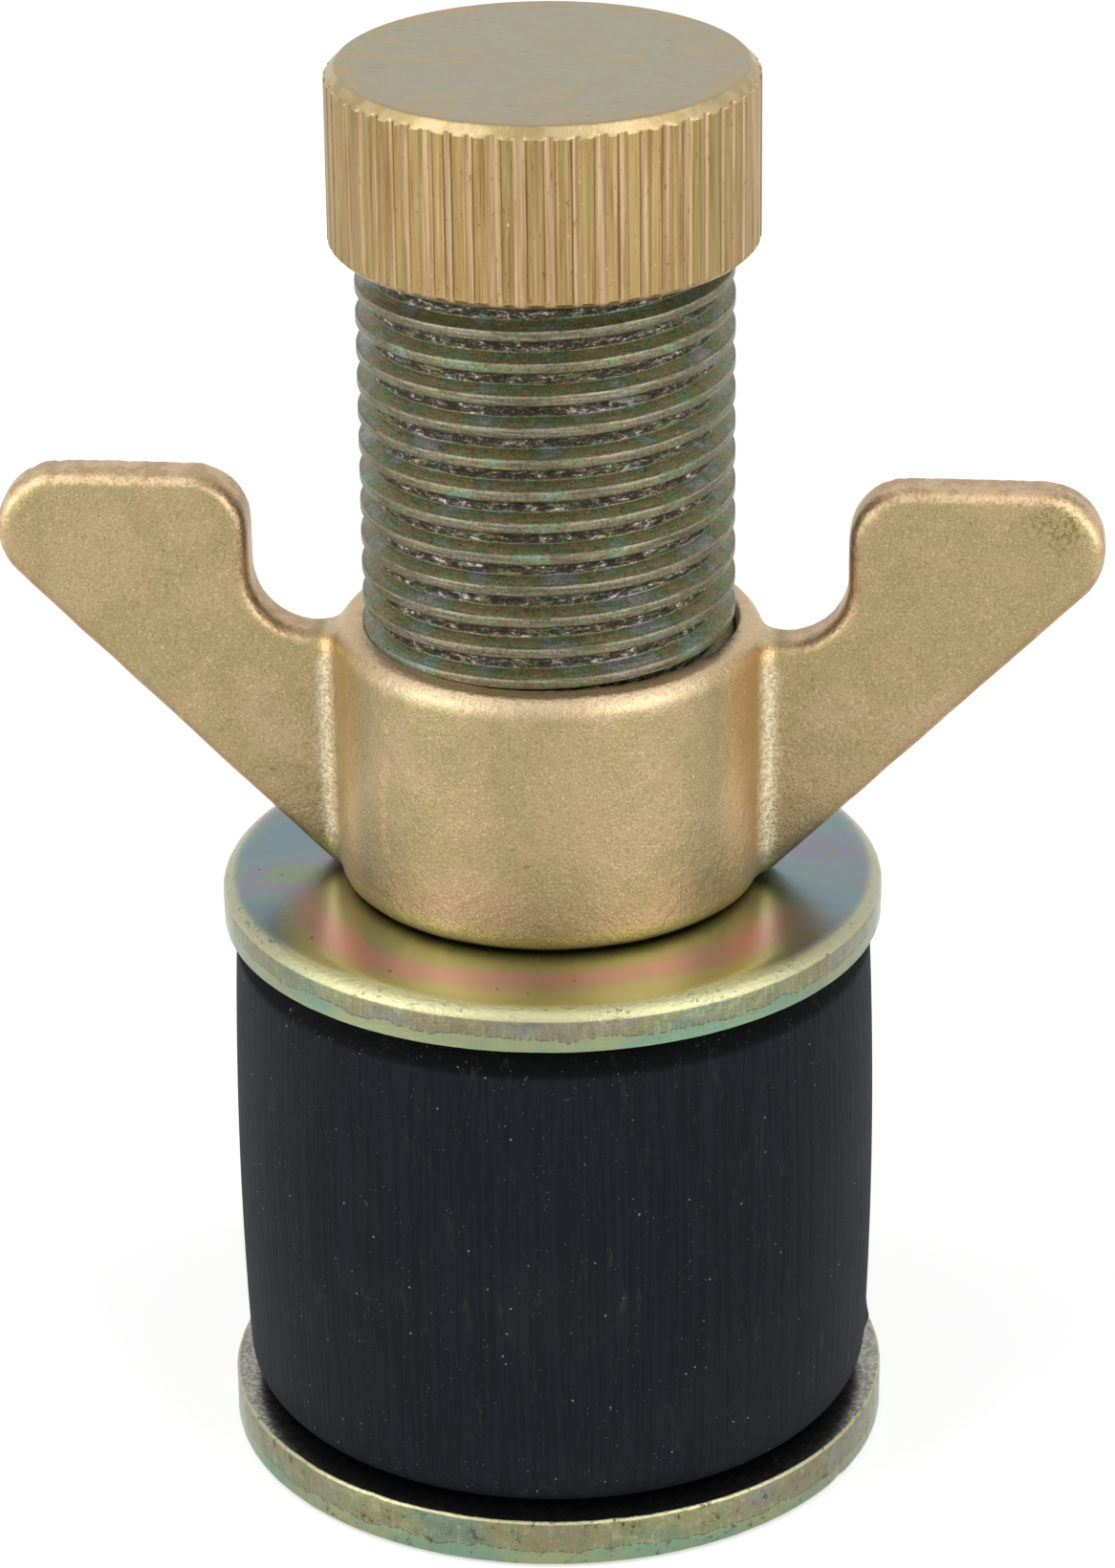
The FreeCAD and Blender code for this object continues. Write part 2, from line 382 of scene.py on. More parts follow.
def pitted_corner(look, rough):
    """1 in the pits at the right wing's outer top corner."""
    x, _, height = look.axes()
    aside = look.math("SUBTRACT", x, WING_REACH - 2.6)
    below = look.math("SUBTRACT", height, WING_HEAD - 1.7)
    away = look.math("ADD", look.math("ABSOLUTE", aside), look.math("ABSOLUTE", below))
    return look.both(look.span(away, 3.2, 0.8), look.span(rough, 0.48, 0.58))


def turned_brass():
    """Machined brass: a knurled side, a chamfer painted cream as a highlight, and a hazy face."""
    look = Look("turned_brass", 1.0, 0.36)
    up = look.facing_up()
    streaks = look.noise(1.0, look.stretched(5.5, 5.5, 0.12), detail=4, roughness=0.65)
    haze = look.noise(0.5, detail=4, roughness=0.6)
    side = knurl_tones(look, streaks)
    face = cap_face_tones(look, haze)
    tone = look.mix(look.span(up, 0.85, 0.98), side, face)
    # Painted highlight: the upper chamfer, which faces the lamps above, is painted cream.
    chamfer = look.both(look.span(up, 0.3, 0.6), look.span(up, 0.95, 0.8))
    cream = look.mix(look.span(haze, 0.4, 0.6), srgb(168, 148, 104), srgb(190, 172, 130))
    tone = look.over(tone, chamfer, 0.85, cream)
    look.colour(tone)
    look.bump(streaks, 0.02)
    look.bump(look.noise(7.0, detail=3), 0.008)
    return look.material


def knurl_tones(look, streaks):
    """Olive-gold ridges with brown shoulders, grooves painted a lighter pink as a highlight on their
    walls, dark marks, and pale marks that are painted glints.
    """
    ridge = look.ramp(streaks, (
        (0.36, srgb(122, 98, 58)),
        (0.46, srgb(144, 120, 76)),
        (0.54, srgb(150, 128, 84)),
        (0.64, srgb(168, 146, 104)),
    ))
    broad = look.noise(1.0, look.stretched(1.1, 1.1, 0.1), detail=2)
    ridge = look.over(ridge, look.span(broad, 0.42, 0.6), 0.5, srgb(152, 134, 84))
    # Painted highlight: the grooves are lighter and pinker, as their walls catch the light.
    groove = look.mix(look.span(streaks, 0.4, 0.6), srgb(146, 120, 82), srgb(172, 148, 112))
    depth = look.math("SUBTRACT", CAP_RADIUS, look.radius())
    side = look.mix(look.span(depth, 0.06, 0.14), ridge, groove)
    shoulder = look.both(look.span(depth, 0.015, 0.04), look.span(depth, 0.1, 0.06))
    side = look.over(side, shoulder, 0.35, srgb(128, 98, 66))
    marks = look.noise(1.0, look.stretched(4.5, 4.5, 1.8), detail=4, roughness=0.7)
    side = look.over(side, look.span(marks, 0.61, 0.69), 0.7, srgb(88, 68, 44))
    # Painted glints: the pale marks.
    return look.over(side, look.span(marks, 0.33, 0.27), 0.7, srgb(216, 192, 144))


def cap_face_tones(look, haze):
    """A grey-gold face with faint blotches, a warmer border and a few scratches."""
    cloud = look.noise(1.0, look.stretched(0.2, 0.26, 0.2), detail=6, roughness=0.68)
    face = look.ramp(cloud, (
        (0.34, srgb(166, 150, 112)),
        (0.45, srgb(152, 144, 119)),
        (0.54, srgb(157, 149, 127)),
        (0.62, srgb(151, 143, 116)),
        (0.70, srgb(164, 148, 112)),
    ))
    border = look.both(look.span(look.radius(), 9.0, 11.2), look.span(haze, 0.4, 0.6))
    face = look.over(face, border, 0.75, srgb(172, 146, 92))
    scratches = look.noise(1.0, look.stretched(0.55, 3.4, 1.0), detail=4, roughness=0.75)
    return look.over(face, look.span(scratches, 0.62, 0.69), 0.6, srgb(96, 86, 60))


def olive_zinc():
    """The plating on the thread: worn crests with a painted highlight on their upper corners, green
    upper flanks, and dark torn roots darkened further as painted shade, with painted glints.
    """
    look = Look("olive_zinc", 0.6, 0.4)
    patches = look.noise(1.0, look.stretched(0.3, 0.3, 0.55), detail=4, roughness=0.6)
    tone = look.ramp(patches, (
        (0.30, srgb(112, 132, 126)),
        (0.39, srgb(98, 116, 76)),
        (0.46, srgb(124, 106, 74)),
        (0.53, srgb(90, 106, 62)),
        (0.60, srgb(110, 120, 112)),
        (0.68, srgb(142, 130, 124)),
    ))
    fine = look.noise(2.8, detail=5, roughness=0.75)
    tone = look.over(tone, look.span(fine, 0.45, 0.33), 0.75, srgb(50, 46, 32))
    tone = look.over(tone, look.span(fine, 0.56, 0.68), 0.5, srgb(158, 148, 130))
    depth = look.math("SUBTRACT", CREST_RADIUS, look.radius())
    lines = look.noise(1.0, look.stretched(0.35, 0.35, 9.0), detail=3, roughness=0.7)
    bare = look.both(look.span(depth, 0.2, 0.05), look.span(patches, 0.36, 0.5))
    tone = look.over(tone, bare, 0.8, worn_crest(look, lines, fine))
    up = look.facing_up()
    clusters = look.noise(1.0, look.stretched(0.55, 0.55, 1.6), detail=4, roughness=0.65)
    # Painted highlight: a pale line on the rounded upper corner of each crest.
    corner = look.both(look.span(up, 0.06, 0.22), look.span(up, 0.62, 0.4))
    corner = look.both(corner, look.span(depth, 0.2, 0.1))
    corner = look.both(corner, look.span(clusters, 0.4, 0.52))
    tone = look.over(tone, corner, 0.42, srgb(172, 166, 148))
    # Torn dark scale on the lower flanks and roots, where painted shade also falls; its silver glints
    # are painted.
    torn = look.both(look.span(up, 0.5, 0.25), look.span(depth, 0.12, 0.26))
    torn = look.both(torn, look.span(clusters, 0.36, 0.46))
    glints = look.noise(1.0, look.stretched(1.3, 1.3, 3.2), detail=5, roughness=0.8)
    tone = look.over(tone, torn, 0.95, torn_scale_shade_and_glints(look, glints))
    grain = look.noise(7.0, detail=3, roughness=0.7)
    tone = look.over(tone, look.span(grain, 0.47, 0.36), 0.55, srgb(40, 38, 26))
    tone = look.over(tone, look.span(grain, 0.58, 0.7), 0.4, srgb(190, 184, 166))
    look.colour(tone)
    look.bump(look.both(glints, torn), 0.14)
    look.bump(lines, 0.03)
    look.bump(fine, 0.03)
    return look.material


def worn_crest(look, lines, fine):
    """Grey-gold lines along the crests, with dark flecks."""
    worn = look.ramp(lines, (
        (0.36, srgb(66, 58, 42)),
        (0.46, srgb(98, 90, 68)),
        (0.56, srgb(110, 102, 80)),
        (0.66, srgb(146, 138, 118)),
    ))
    return look.over(worn, look.span(fine, 0.5, 0.36), 0.5, srgb(66, 66, 46))


def torn_scale_shade_and_glints(look, glints):
    """Almost black torn scale, partly painted shade, with painted silver glints."""
    return look.ramp(glints, (
        (0.45, srgb(30, 25, 18)),
        (0.53, srgb(74, 62, 48)),
        (0.59, srgb(150, 138, 124)),
        (0.65, srgb(236, 232, 224)),
    ))


def zinc_plate(name, foot, head, ringed):
    """Yellow zinc on a punched plate. The top is tinted in rings, or gritty where the
    rubber stands on it. The rolled upper edge is painted with a cream highlight, broken by dark scuffs."""
    look = Look(name, 1.0, 0.2)
    up = look.facing_up()
    streaks = look.noise(1.0, look.stretched(6.0, 6.0, 0.9), detail=4, roughness=0.7)
    mottle = look.noise(1.4, detail=5, roughness=0.75)
    scuffs = look.noise(1.0, look.stretched(2.2, 2.2, 5.0), detail=5, roughness=0.75)
    dirt = look.specks(0.45, 0.07)
    if ringed:
        top = ringed_top(look)
        brushed = 0.3
    else:
        grit = look.noise(3.0, detail=4, roughness=0.7)
        top = look.mix(look.span(grit, 0.42, 0.58), srgb(118, 119, 110), srgb(160, 158, 150))
        dirt = look.math("MAXIMUM", dirt, look.span(mottle, 0.58, 0.68))
        brushed = 0.2
    rim = punched_rim(look, foot, head, streaks, mottle, brushed)
    tone = look.mix(look.span(up, 0.3, 0.8), rim, top)
    # Painted highlight on the rolled upper edge, broken by dark scuffs where the edge is rubbed.
    rubbed = look.span(look.noise(0.35, detail=3), 0.44, 0.56)
    worn = look.both(look.span(scuffs, 0.54, 0.66), rubbed)
    worn = look.mix(worn, srgb(184, 180, 138), srgb(72, 69, 52))
    roll = look.both(look.span(up, 0.15, 0.4), look.span(up, 0.98, 0.9))
    tone = look.over(tone, roll, 0.75, worn)
    tone = look.over(tone, dirt, 0.8, srgb(58, 54, 42))
    look.colour(tone)
    look.bump(look.noise(0.9, detail=4), 0.008)
    look.bump(look.both(scuffs, look.span(up, 0.995, 0.95)), 0.06)
    look.bump(streaks, 0.012)
    return look.material


def ringed_top(look):
    """Bands of pink and yellow-green round the nut, and blue-grey to the sides and behind as a painted
    reflection.
    """
    x, y, _ = look.axes()
    across = look.math("ADD", look.radius(), look.strength(look.noise(0.09, detail=2), 3.0))
    bands = look.ramp(look.span(across, 12.5, 21.5), (
        (0.0, srgb(148, 150, 132)),
        (0.22, srgb(178, 184, 166)),
        (0.40, srgb(212, 172, 192)),
        (0.58, srgb(208, 178, 188)),
        (0.70, srgb(198, 200, 166)),
        (0.86, srgb(206, 208, 160)),
        (1.0, srgb(168, 178, 144)),
    ))
    # Painted reflection: blue-grey where the top faces away to the sides and behind.
    sides = look.ramp(look.noise(0.14, detail=3), (
        (0.38, srgb(108, 130, 138)),
        (0.48, srgb(116, 136, 132)),
        (0.56, srgb(126, 126, 140)),
        (0.64, srgb(124, 138, 110)),
    ))
    behind = look.strength(look.span(y, -6.0, 3.0), 4.0)
    outward = look.math("ADD", look.math("ABSOLUTE", x), behind)
    return look.mix(look.span(outward, 11.5, 15.0), bands, sides)


def punched_rim(look, foot, head, streaks, mottle, brushed):
    """A plate's side: mottled and brushed above a wandering crack, paler and torn below."""
    patches = look.noise(0.12, detail=4, roughness=0.6, distortion=0.6)
    rim = look.ramp(patches, (
        (0.38, srgb(106, 122, 104)),
        (0.46, srgb(124, 128, 92)),
        (0.54, srgb(128, 120, 92)),
        (0.62, srgb(120, 124, 112)),
    ))
    rim = look.over(rim, look.span(mottle, 0.52, 0.64), 0.45, srgb(92, 88, 66))
    rim = look.over(rim, look.span(mottle, 0.46, 0.36), 0.35, srgb(168, 168, 134))
    rim = look.over(rim, look.span(streaks, 0.5, 0.66), brushed, srgb(92, 88, 70))
    rim = look.over(rim, look.span(streaks, 0.46, 0.34), brushed, srgb(168, 166, 138))
    _, _, height = look.axes()
    thickness = head - foot
    crack = foot + 0.08 * thickness
    wander = look.noise(1.0, look.stretched(0.45, 0.45, 0.0), detail=5, roughness=0.6)
    level = look.math("SUBTRACT", height, look.strength(wander, 0.5 * thickness))
    pale = look.mix(look.span(patches, 0.42, 0.58), srgb(116, 144, 120), srgb(142, 150, 112))
    rim = look.over(rim, look.span(level, crack + 0.08, crack), 0.8, pale)
    line = look.span(look.math("ABSOLUTE", look.math("SUBTRACT", level, crack)), 0.07, 0.03)
    line = look.both(line, look.span(streaks, 0.42, 0.52))
    return look.over(rim, line, 0.7, srgb(84, 66, 54))


def black_rubber(name, ground):
    """Black rubber; the seal's side is ground, which leaves fine upright lines, and faces turned
    upward are painted near black as shade under the part above."""
    look = Look(name, 0.0, 0.62)
    lines = look.noise(1.0, look.stretched(3.2, 3.2, 0.04), detail=5, roughness=0.7)
    tone = look.mix(look.span(lines, 0.42, 0.58), srgb(19, 23, 27), srgb(25, 29, 34))
    cloud = look.noise(0.1, detail=3)
    tone = look.over(tone, look.span(cloud, 0.48, 0.62), 0.4, srgb(30, 33, 36))
    up = look.facing_up()
    # Painted shade: faces turned upward, under the plate or the cap, are painted near black.
    tone = look.over(tone, look.span(up, 0.12, 0.3), 0.9, srgb(2, 2, 2))
    look.colour(dusted(look, tone, up))
    look.shader.inputs["Specular IOR Level"].default_value = RUBBER_SPECULAR
    if ground:
        look.bump(lines, 0.09)
    look.bump(look.noise(4.0, detail=3), 0.01)
    return look.material


def dusted(look, tone, up):
    """The tone with smears, fine dust that gathers on the ledge, and a few larger specks."""
    ledge = look.both(look.span(up, 0.05, 0.15), look.span(up, 0.4, 0.2))
    few = look.span(look.noise(0.35, detail=3), 0.42, 0.6)
    dust = look.both(look.specks(1.1, 0.085), few)
    fine = look.both(look.specks(2.6, 0.17), look.span(look.noise(0.6, detail=4), 0.46, 0.6))
    fine = look.math("MAXIMUM", look.strength(fine, 0.45), look.both(fine, ledge))
    smear = look.noise(1.0, look.stretched(1.6, 1.6, 0.35), detail=6, roughness=0.8)
    smear = look.both(look.span(smear, 0.54, 0.66), few)
    tone = look.over(tone, smear, 0.4, srgb(58, 58, 56))
    tone = look.mix(fine, tone, srgb(110, 108, 100))
    return look.over(tone, dust, 0.9, srgb(150, 148, 138))


def finished(name, mesh_data, material, body, nodes, sharp=35.0):
    """Makes a piece of vertices and faces in millimetres, and sets it in the frame."""
    vertices, faces = mesh_data
    mesh = bpy.data.meshes.new(name)
    mesh.from_pydata([tuple(v) for v in np.asarray(vertices, float) * MM], [], faces)
    edit = bmesh.new()
    edit.from_mesh(mesh)
    bmesh.ops.remove_doubles(edit, verts=edit.verts, dist=1e-7)
    bmesh.ops.dissolve_degenerate(edit, edges=edit.edges, dist=1e-7)
    bmesh.ops.recalc_face_normals(edit, faces=edit.faces)
    for face in edit.faces:
        face.smooth = True
    for edge in edit.edges:
        edge.smooth = edge.calc_face_angle(0.0) < math.radians(sharp)
    edit.to_mesh(mesh)
    edit.free()
    mesh.materials.append(material)
    piece = bpy.data.objects.new(name, mesh)
    bpy.context.scene.collection.objects.link(piece)
    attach(piece, body)
    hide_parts(*nodes)
    return piece


def wrapped(rows, closed=True):
    """Faces between rows of points that each run once round the axis."""
    count = len(rows)
    columns = len(rows[0])
    vertices = np.concatenate(rows)
    faces = []
    for row in range(count if closed else count - 1):
        following = (row + 1) % count
        for column in range(columns):
            beside = (column + 1) % columns
            faces.append((row * columns + column, row * columns + beside,
                          following * columns + beside, following * columns + column))
    return vertices, faces


def ring(angles, radius, height):
    """A row of points round the axis; radius and height may be one value or one a point."""
    radius = np.broadcast_to(radius, angles.shape)
    height = np.broadcast_to(height, angles.shape)
    return np.stack([radius * np.cos(angles), radius * np.sin(angles), height], axis=1)


def lathe(profile, columns, shape=None):
    """A closed profile of (radius, height) turned round the axis. shape(angles, radius,
    height) may return a changed radius and height for each point of a row."""
    angles = np.linspace(0, 2 * math.pi, columns, endpoint=False)
    rows = []
    for radius, height in profile:
        if shape is None:
            rows.append(ring(angles, radius, height))
        else:
            rows.append(ring(angles, *shape(angles, radius, height)))
    return wrapped(rows)


def arc(centre, radius, first, last, steps, stretch=1.0):
    """Points on an arc in the section plane, angles in degrees from outwards to up. The
    stretch widens it away from the axis."""
    points = []
    for degrees in np.linspace(first, last, steps):
        angle = math.radians(degrees)
        out = stretch * radius * math.cos(angle)
        points.append((centre[0] + out, centre[1] + radius * math.sin(angle)))
    return points


def thread_depth(phase):
    """Share of the thread's depth at each phase of the turn."""
    places = [place for place, _ in THREAD_FORM] + [1.0]
    depths = [depth for _, depth in THREAD_FORM] + [0.0]
    return np.interp(phase, places, depths)


def threaded_spindle():
    """The tube: rows of the thread run along its helix, so crests and roots stay crisp."""
    angles = np.linspace(0, 2 * math.pi, THREAD_COLUMNS + 1)
    chance = np.random.default_rng(3)
    first_turn = math.floor(THREAD_END / THREAD_PITCH) - 2
    last_turn = math.ceil(SPINDLE_HEAD / THREAD_PITCH) + 2
    rows = []
    for turn in range(first_turn, last_turn):
        for place, share in THREAD_FORM:
            height = (turn + place + angles / (2 * math.pi)) * THREAD_PITCH
            rows.append(thread_row(angles, height, chance.uniform(-1, 1, len(angles))))
    columns = THREAD_COLUMNS
    per_turn = len(THREAD_FORM)
    vertices = np.concatenate([row[:columns] for row in rows])
    faces = []
    for row in range(len(rows) - per_turn - 1):
        for column in range(columns):
            lower = row * columns + column + 1
            if column + 1 == columns:
                lower = (row + per_turn) * columns
            faces.append((row * columns + column, lower, lower + columns, (row + 1) * columns + column))
    round_angles = angles[:columns]
    level = np.zeros(columns)
    inner = [
        thread_row(round_angles, level + SPINDLE_HEAD, level),
        ring(round_angles, SPINDLE_BORE + SPINDLE_BORE_CHAMFER, SPINDLE_HEAD),
        ring(round_angles, SPINDLE_BORE, SPINDLE_HEAD - SPINDLE_BORE_CHAMFER),
        ring(round_angles, SPINDLE_BORE, SPINDLE_FOOT),
        ring(round_angles, SWAGE_RADIUS, SPINDLE_FOOT),
        ring(round_angles, NECK_RADIUS, SWAGE_DEPTH),
        ring(round_angles, NECK_RADIUS, BASE_HEAD),
        ring(round_angles, CREST_RADIUS, BASE_HEAD),
        ring(round_angles, CREST_RADIUS, THREAD_END - THREAD_PITCH / 2),
        thread_row(round_angles, level + THREAD_END, level),
    ]
    more_vertices, more_faces = wrapped(inner, closed=False)
    shift = len(vertices)
    faces += [tuple(index + shift for index in face) for face in more_faces]
    return np.concatenate([vertices, more_vertices]), faces


def thread_row(angles, height, roughness):
    """Points of the thread at these angles and heights, its roots torn by the roughness."""
    inside = (height > THREAD_END) & (height < SPINDLE_HEAD)
    height = np.clip(height, THREAD_END, SPINDLE_HEAD)
    phase = np.mod(height / THREAD_PITCH - angles / (2 * math.pi), 1.0)
    share = thread_depth(phase)
    torn = inside * np.interp(phase, (0.38, 0.5, 0.68, 0.83), (0, 1, 1, 0))
    radius = CREST_RADIUS - THREAD_DEPTH * share + TORN_ROUGHNESS * torn * roughness
    chamfer = CREST_RADIUS - (height - SPINDLE_HEAD + SPINDLE_TOP_CHAMFER)
    return ring(angles, np.minimum(radius, chamfer), height)


def flute_columns():
    """Angles and depths round the knurl: flat ridges between grooves with round floors. The
    knurl is uneven, so its grooves differ in width and depth."""
    chance = np.random.default_rng(7)
    widths = 1 + chance.uniform(-0.22, 0.22, FLUTES)
    widths *= 2 * math.pi / widths.sum()
    angles = []
    depths = []
    start = 0.0
    for width in widths:
        ridge = width * chance.uniform(0.35, 0.6)
        groove = width - ridge
        depth = FLUTE_DEPTH * chance.uniform(0.55, 1.0)
        lean = chance.uniform(-0.12, 0.12)
        angles += [start, start + ridge * 0.5, start + ridge]
        depths += [0.0, 0.015 * chance.uniform(0, 1), 0.0]
        for share, part in FLUTE_FLOOR:
            angles.append(start + ridge + groove * (share + lean * share * (1 - share)))
            depths.append(depth * part)
        start += width
    return np.array(angles), np.array(depths)


def knurled_cap():
    angles, depths = flute_columns()
    rim = CAP_HEAD - CAP_RIM_CHAMFER

    def outside(height):
        """Radius of each column at a height: the flutes, cut back by both chamfers."""
        radius = CAP_RADIUS - depths
        top = CAP_RADIUS - max(0.0, height - rim)
        low = CAP_RADIUS - max(0.0, CAP_FOOT + CAP_FOOT_CHAMFER - height)
        return np.minimum(radius, min(top, low))

    rows = [
        ring(angles, 0.6, WASHER_HEAD),
        ring(angles, CAP_BORE, WASHER_HEAD),
        ring(angles, CAP_BORE, CAP_FOOT + CAP_FOOT_CHAMFER),
        ring(angles, CAP_BORE + CAP_FOOT_CHAMFER, CAP_FOOT),
    ]
    for height in np.linspace(CAP_FOOT, CAP_FOOT + CAP_FOOT_CHAMFER, 4):
        rows.append(ring(angles, outside(height), height))
    for height in np.linspace(CAP_FOOT + CAP_FOOT_CHAMFER + 0.1, rim - 0.05, 6):
        rows.append(ring(angles, outside(height), height))
    for height in np.linspace(rim, CAP_HEAD - 0.04, 9):
        rows.append(ring(angles, outside(height), height))
    face_radius = CAP_RADIUS - CAP_RIM_CHAMFER
    rows += [
        ring(angles, face_radius - 0.08, CAP_HEAD),
        ring(angles, face_radius * 0.97, CAP_HEAD),
        ring(angles, face_radius * 0.6, CAP_HEAD),
        ring(angles, 0.6, CAP_HEAD),
    ]
    vertices, faces = wrapped(rows, closed=False)
    columns = len(angles)
    last = (len(rows) - 1) * columns
    faces.append(tuple(range(last, last + columns)))
    faces.append(tuple(reversed(range(columns))))
    return vertices, faces


def rubber_sleeve():
    """The sleeve: barrelled, with a round lower corner and a sloped step under the washer."""
    bore = CREST_RADIUS + 0.25
    swell = SEAL_RADIUS - SLEEVE_END_RADIUS
    side_low = SEAL_FOOT + SLEEVE_LOW_CORNER
    side_high = SEAL_HEAD - SLEEVE_HIGH_DROP
    step = SLEEVE_END_RADIUS - SLEEVE_HIGH_STEP
    profile = [(bore, SEAL_FOOT)]
    profile += arc((SLEEVE_END_RADIUS - SLEEVE_LOW_CORNER, side_low), SLEEVE_LOW_CORNER, -90, 0, 9)
    for share in np.linspace(0, 1, SLEEVE_ROWS)[1:-1]:
        height = side_low + (side_high - side_low) * share
        profile.append((SLEEVE_END_RADIUS + swell * math.sin(math.pi * share) ** 0.8, height))
    profile += [(SLEEVE_END_RADIUS, side_high), (SLEEVE_END_RADIUS - 0.08, side_high + 0.12)]
    profile += [(step, SEAL_HEAD - 0.1), (step - 0.15, SEAL_HEAD)]
    profile.append((bore, SEAL_HEAD))
    return lathe(profile, SLEEVE_COLUMNS, nicked)


def nicked(angles, radius, height):
    """One torn lip low on the sleeve's right, which stands a little proud of its side."""
    turned = np.abs(np.angle(np.exp(1j * (angles - math.radians(NICK_ANGLE)))))
    across = np.exp(-(turned * radius / NICK_WIDTH) ** 2)
    along = math.exp(-((height - NICK_HEIGHT) / NICK_REACH) ** 2)
    lip = NICK_PROUD * across * along
    if radius < SLEEVE_END_RADIUS - 0.5:
        lip = 0 * lip
    return radius + lip, np.full(angles.shape, float(height))


def top_washer():
    """The washer under the nut; the punch rolled its upper edge over, wide and shallow."""
    hole = CREST_RADIUS + WASHER_HOLE_GAP
    profile = [
        (hole, PLATE_FOOT), (PLATE_RADIUS - 0.12, PLATE_FOOT), (PLATE_RADIUS - 0.02, PLATE_FOOT + 0.1),
        (PLATE_RADIUS - 0.02, PLATE_FOOT + 0.75), (PLATE_RADIUS, PLATE_FOOT + 0.85),
    ]
    centre = (PLATE_RADIUS - WASHER_ROLL * WASHER_ROLL_STRETCH, PLATE_HEAD - WASHER_ROLL)
    profile += arc(centre, WASHER_ROLL, 0, 90, 14, WASHER_ROLL_STRETCH)
    profile += [(PLATE_RADIUS - 3.0, PLATE_HEAD), (hole, PLATE_HEAD)]
    return lathe(profile, PLATE_COLUMNS, torn_edge)


def torn_edge(angles, radius, height):
    """The punch leaves the washer's lower edge uneven and its side a little wavy."""
    rough = np.array([noise.noise(Vector((9 * a, 0.3, 0.1))) for a in angles])
    low = np.full(angles.shape, float(height))
    out = np.full(angles.shape, float(radius))
    if height < PLATE_FOOT + 0.05 and radius > PLATE_RADIUS - 0.5:
        low += WASHER_TEAR * np.abs(rough)
    if radius > PLATE_RADIUS - 0.3:
        out -= WASHER_DENT * np.abs(rough)
    return out, low


def base_disc():
    """The sheared disc at the foot, with its countersink for the spindle's swage."""
    hole = NECK_RADIUS + FIT_GAP
    mouth = SWAGE_RADIUS + FIT_GAP
    edge = BASE_RADIUS - BASE_EDGE
    profile = [(hole, SWAGE_DEPTH), (mouth, SPINDLE_FOOT), (mouth, BASE_FOOT)]
    profile += arc((edge, BASE_EDGE), BASE_EDGE, -90, 0, 4)
    profile += [(BASE_RADIUS, BASE_HEAD * 0.35), (BASE_RADIUS, BASE_HEAD * 0.7)]
    profile += arc((edge, BASE_HEAD - BASE_EDGE), BASE_EDGE, 0, 90, 4)
    profile += [(BASE_RADIUS - 2.0, BASE_HEAD), (hole, BASE_HEAD)]
    return lathe(profile, PLATE_COLUMNS, sheared_edge)


def sheared_edge(angles, radius, height):
    """The disc's side is dented all round, and deeper in a few notches."""
    out = np.full(angles.shape, float(radius))
    if radius > BASE_RADIUS - 0.4:
        rough = np.array([noise.noise(Vector((14 * a, height, 0.7))) for a in angles])
        out -= BASE_DENT * np.abs(rough) + BASE_NOTCH * np.clip(rough - 0.42, 0, 1)
    return out, np.full(angles.shape, float(height))


def casting():
    """The nut, from its solid: remeshed finely, softened as a casting, and roughened."""
    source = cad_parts["wing_nut"]
    block = bpy.data.objects.new("nut_block", source.data.copy())
    bpy.context.scene.collection.objects.link(block)
    remesh = block.modifiers.new("remesh", "REMESH")
    remesh.mode = "VOXEL"
    remesh.voxel_size = NUT_VOXEL * MM
    soften = block.modifiers.new("soften", "SMOOTH")
    soften.factor = 0.5
    soften.iterations = NUT_SMOOTHINGS
    depsgraph = bpy.context.evaluated_depsgraph_get()
    mesh = bpy.data.meshes.new_from_object(block.evaluated_get(depsgraph))
    vertices = [cast_point(vertex.co / MM, vertex.normal) for vertex in mesh.vertices]
    faces = [tuple(polygon.vertices) for polygon in mesh.polygons]
    bpy.data.objects.remove(block)
    return vertices, faces


def cast_point(point, normal):
    """A point of the casting: swollen by its rough skin, worn on the wings' tops, kept out
    of the bore, and drawn in where the nut's own thread closes its mouth."""
    swell = noise.noise(point * 0.35) + 0.5 * noise.noise(point * 0.9)
    point = point + normal * (CAST_RELIEF * swell - CAST_SHRINK)
    if point.z > WING_HEAD - WING_CREST_BAND:
        point.z -= WING_CREST_WEAR * abs(noise.noise(Vector((point.x * 1.3, 0.0, 4.0))))
    radius = math.hypot(point.x, point.y)
    if radius < NUT_BORE + BORE_CLEARANCE:
        point.x *= (NUT_BORE + BORE_CLEARANCE) / radius
        point.y *= (NUT_BORE + BORE_CLEARANCE) / radius
    fill = mouth_fill(point)
    if fill > 0.0 and radius < NUT_BORE + MOUTH_WALL:
        inward = (CREST_RADIUS + MOUTH_GAP + (radius - NUT_BORE) * (1 - fill)) / radius
        point.x *= min(1.0, inward)
        point.y *= min(1.0, inward)
    return point


def mouth_fill(point):
    """How far the nut's own thread closes its mouth here: 1 at the front, 0 at the right."""
    below = NUT_COLLAR_HEAD - point.z
    if below > MOUTH_DEPTH or below < -0.2:
        return 0.0
    turn = math.cos(math.atan2(point.y, point.x) - MOUTH_CLOSED_AT)
    return min(1.0, max(0.0, 0.7 + 0.7 * turn))


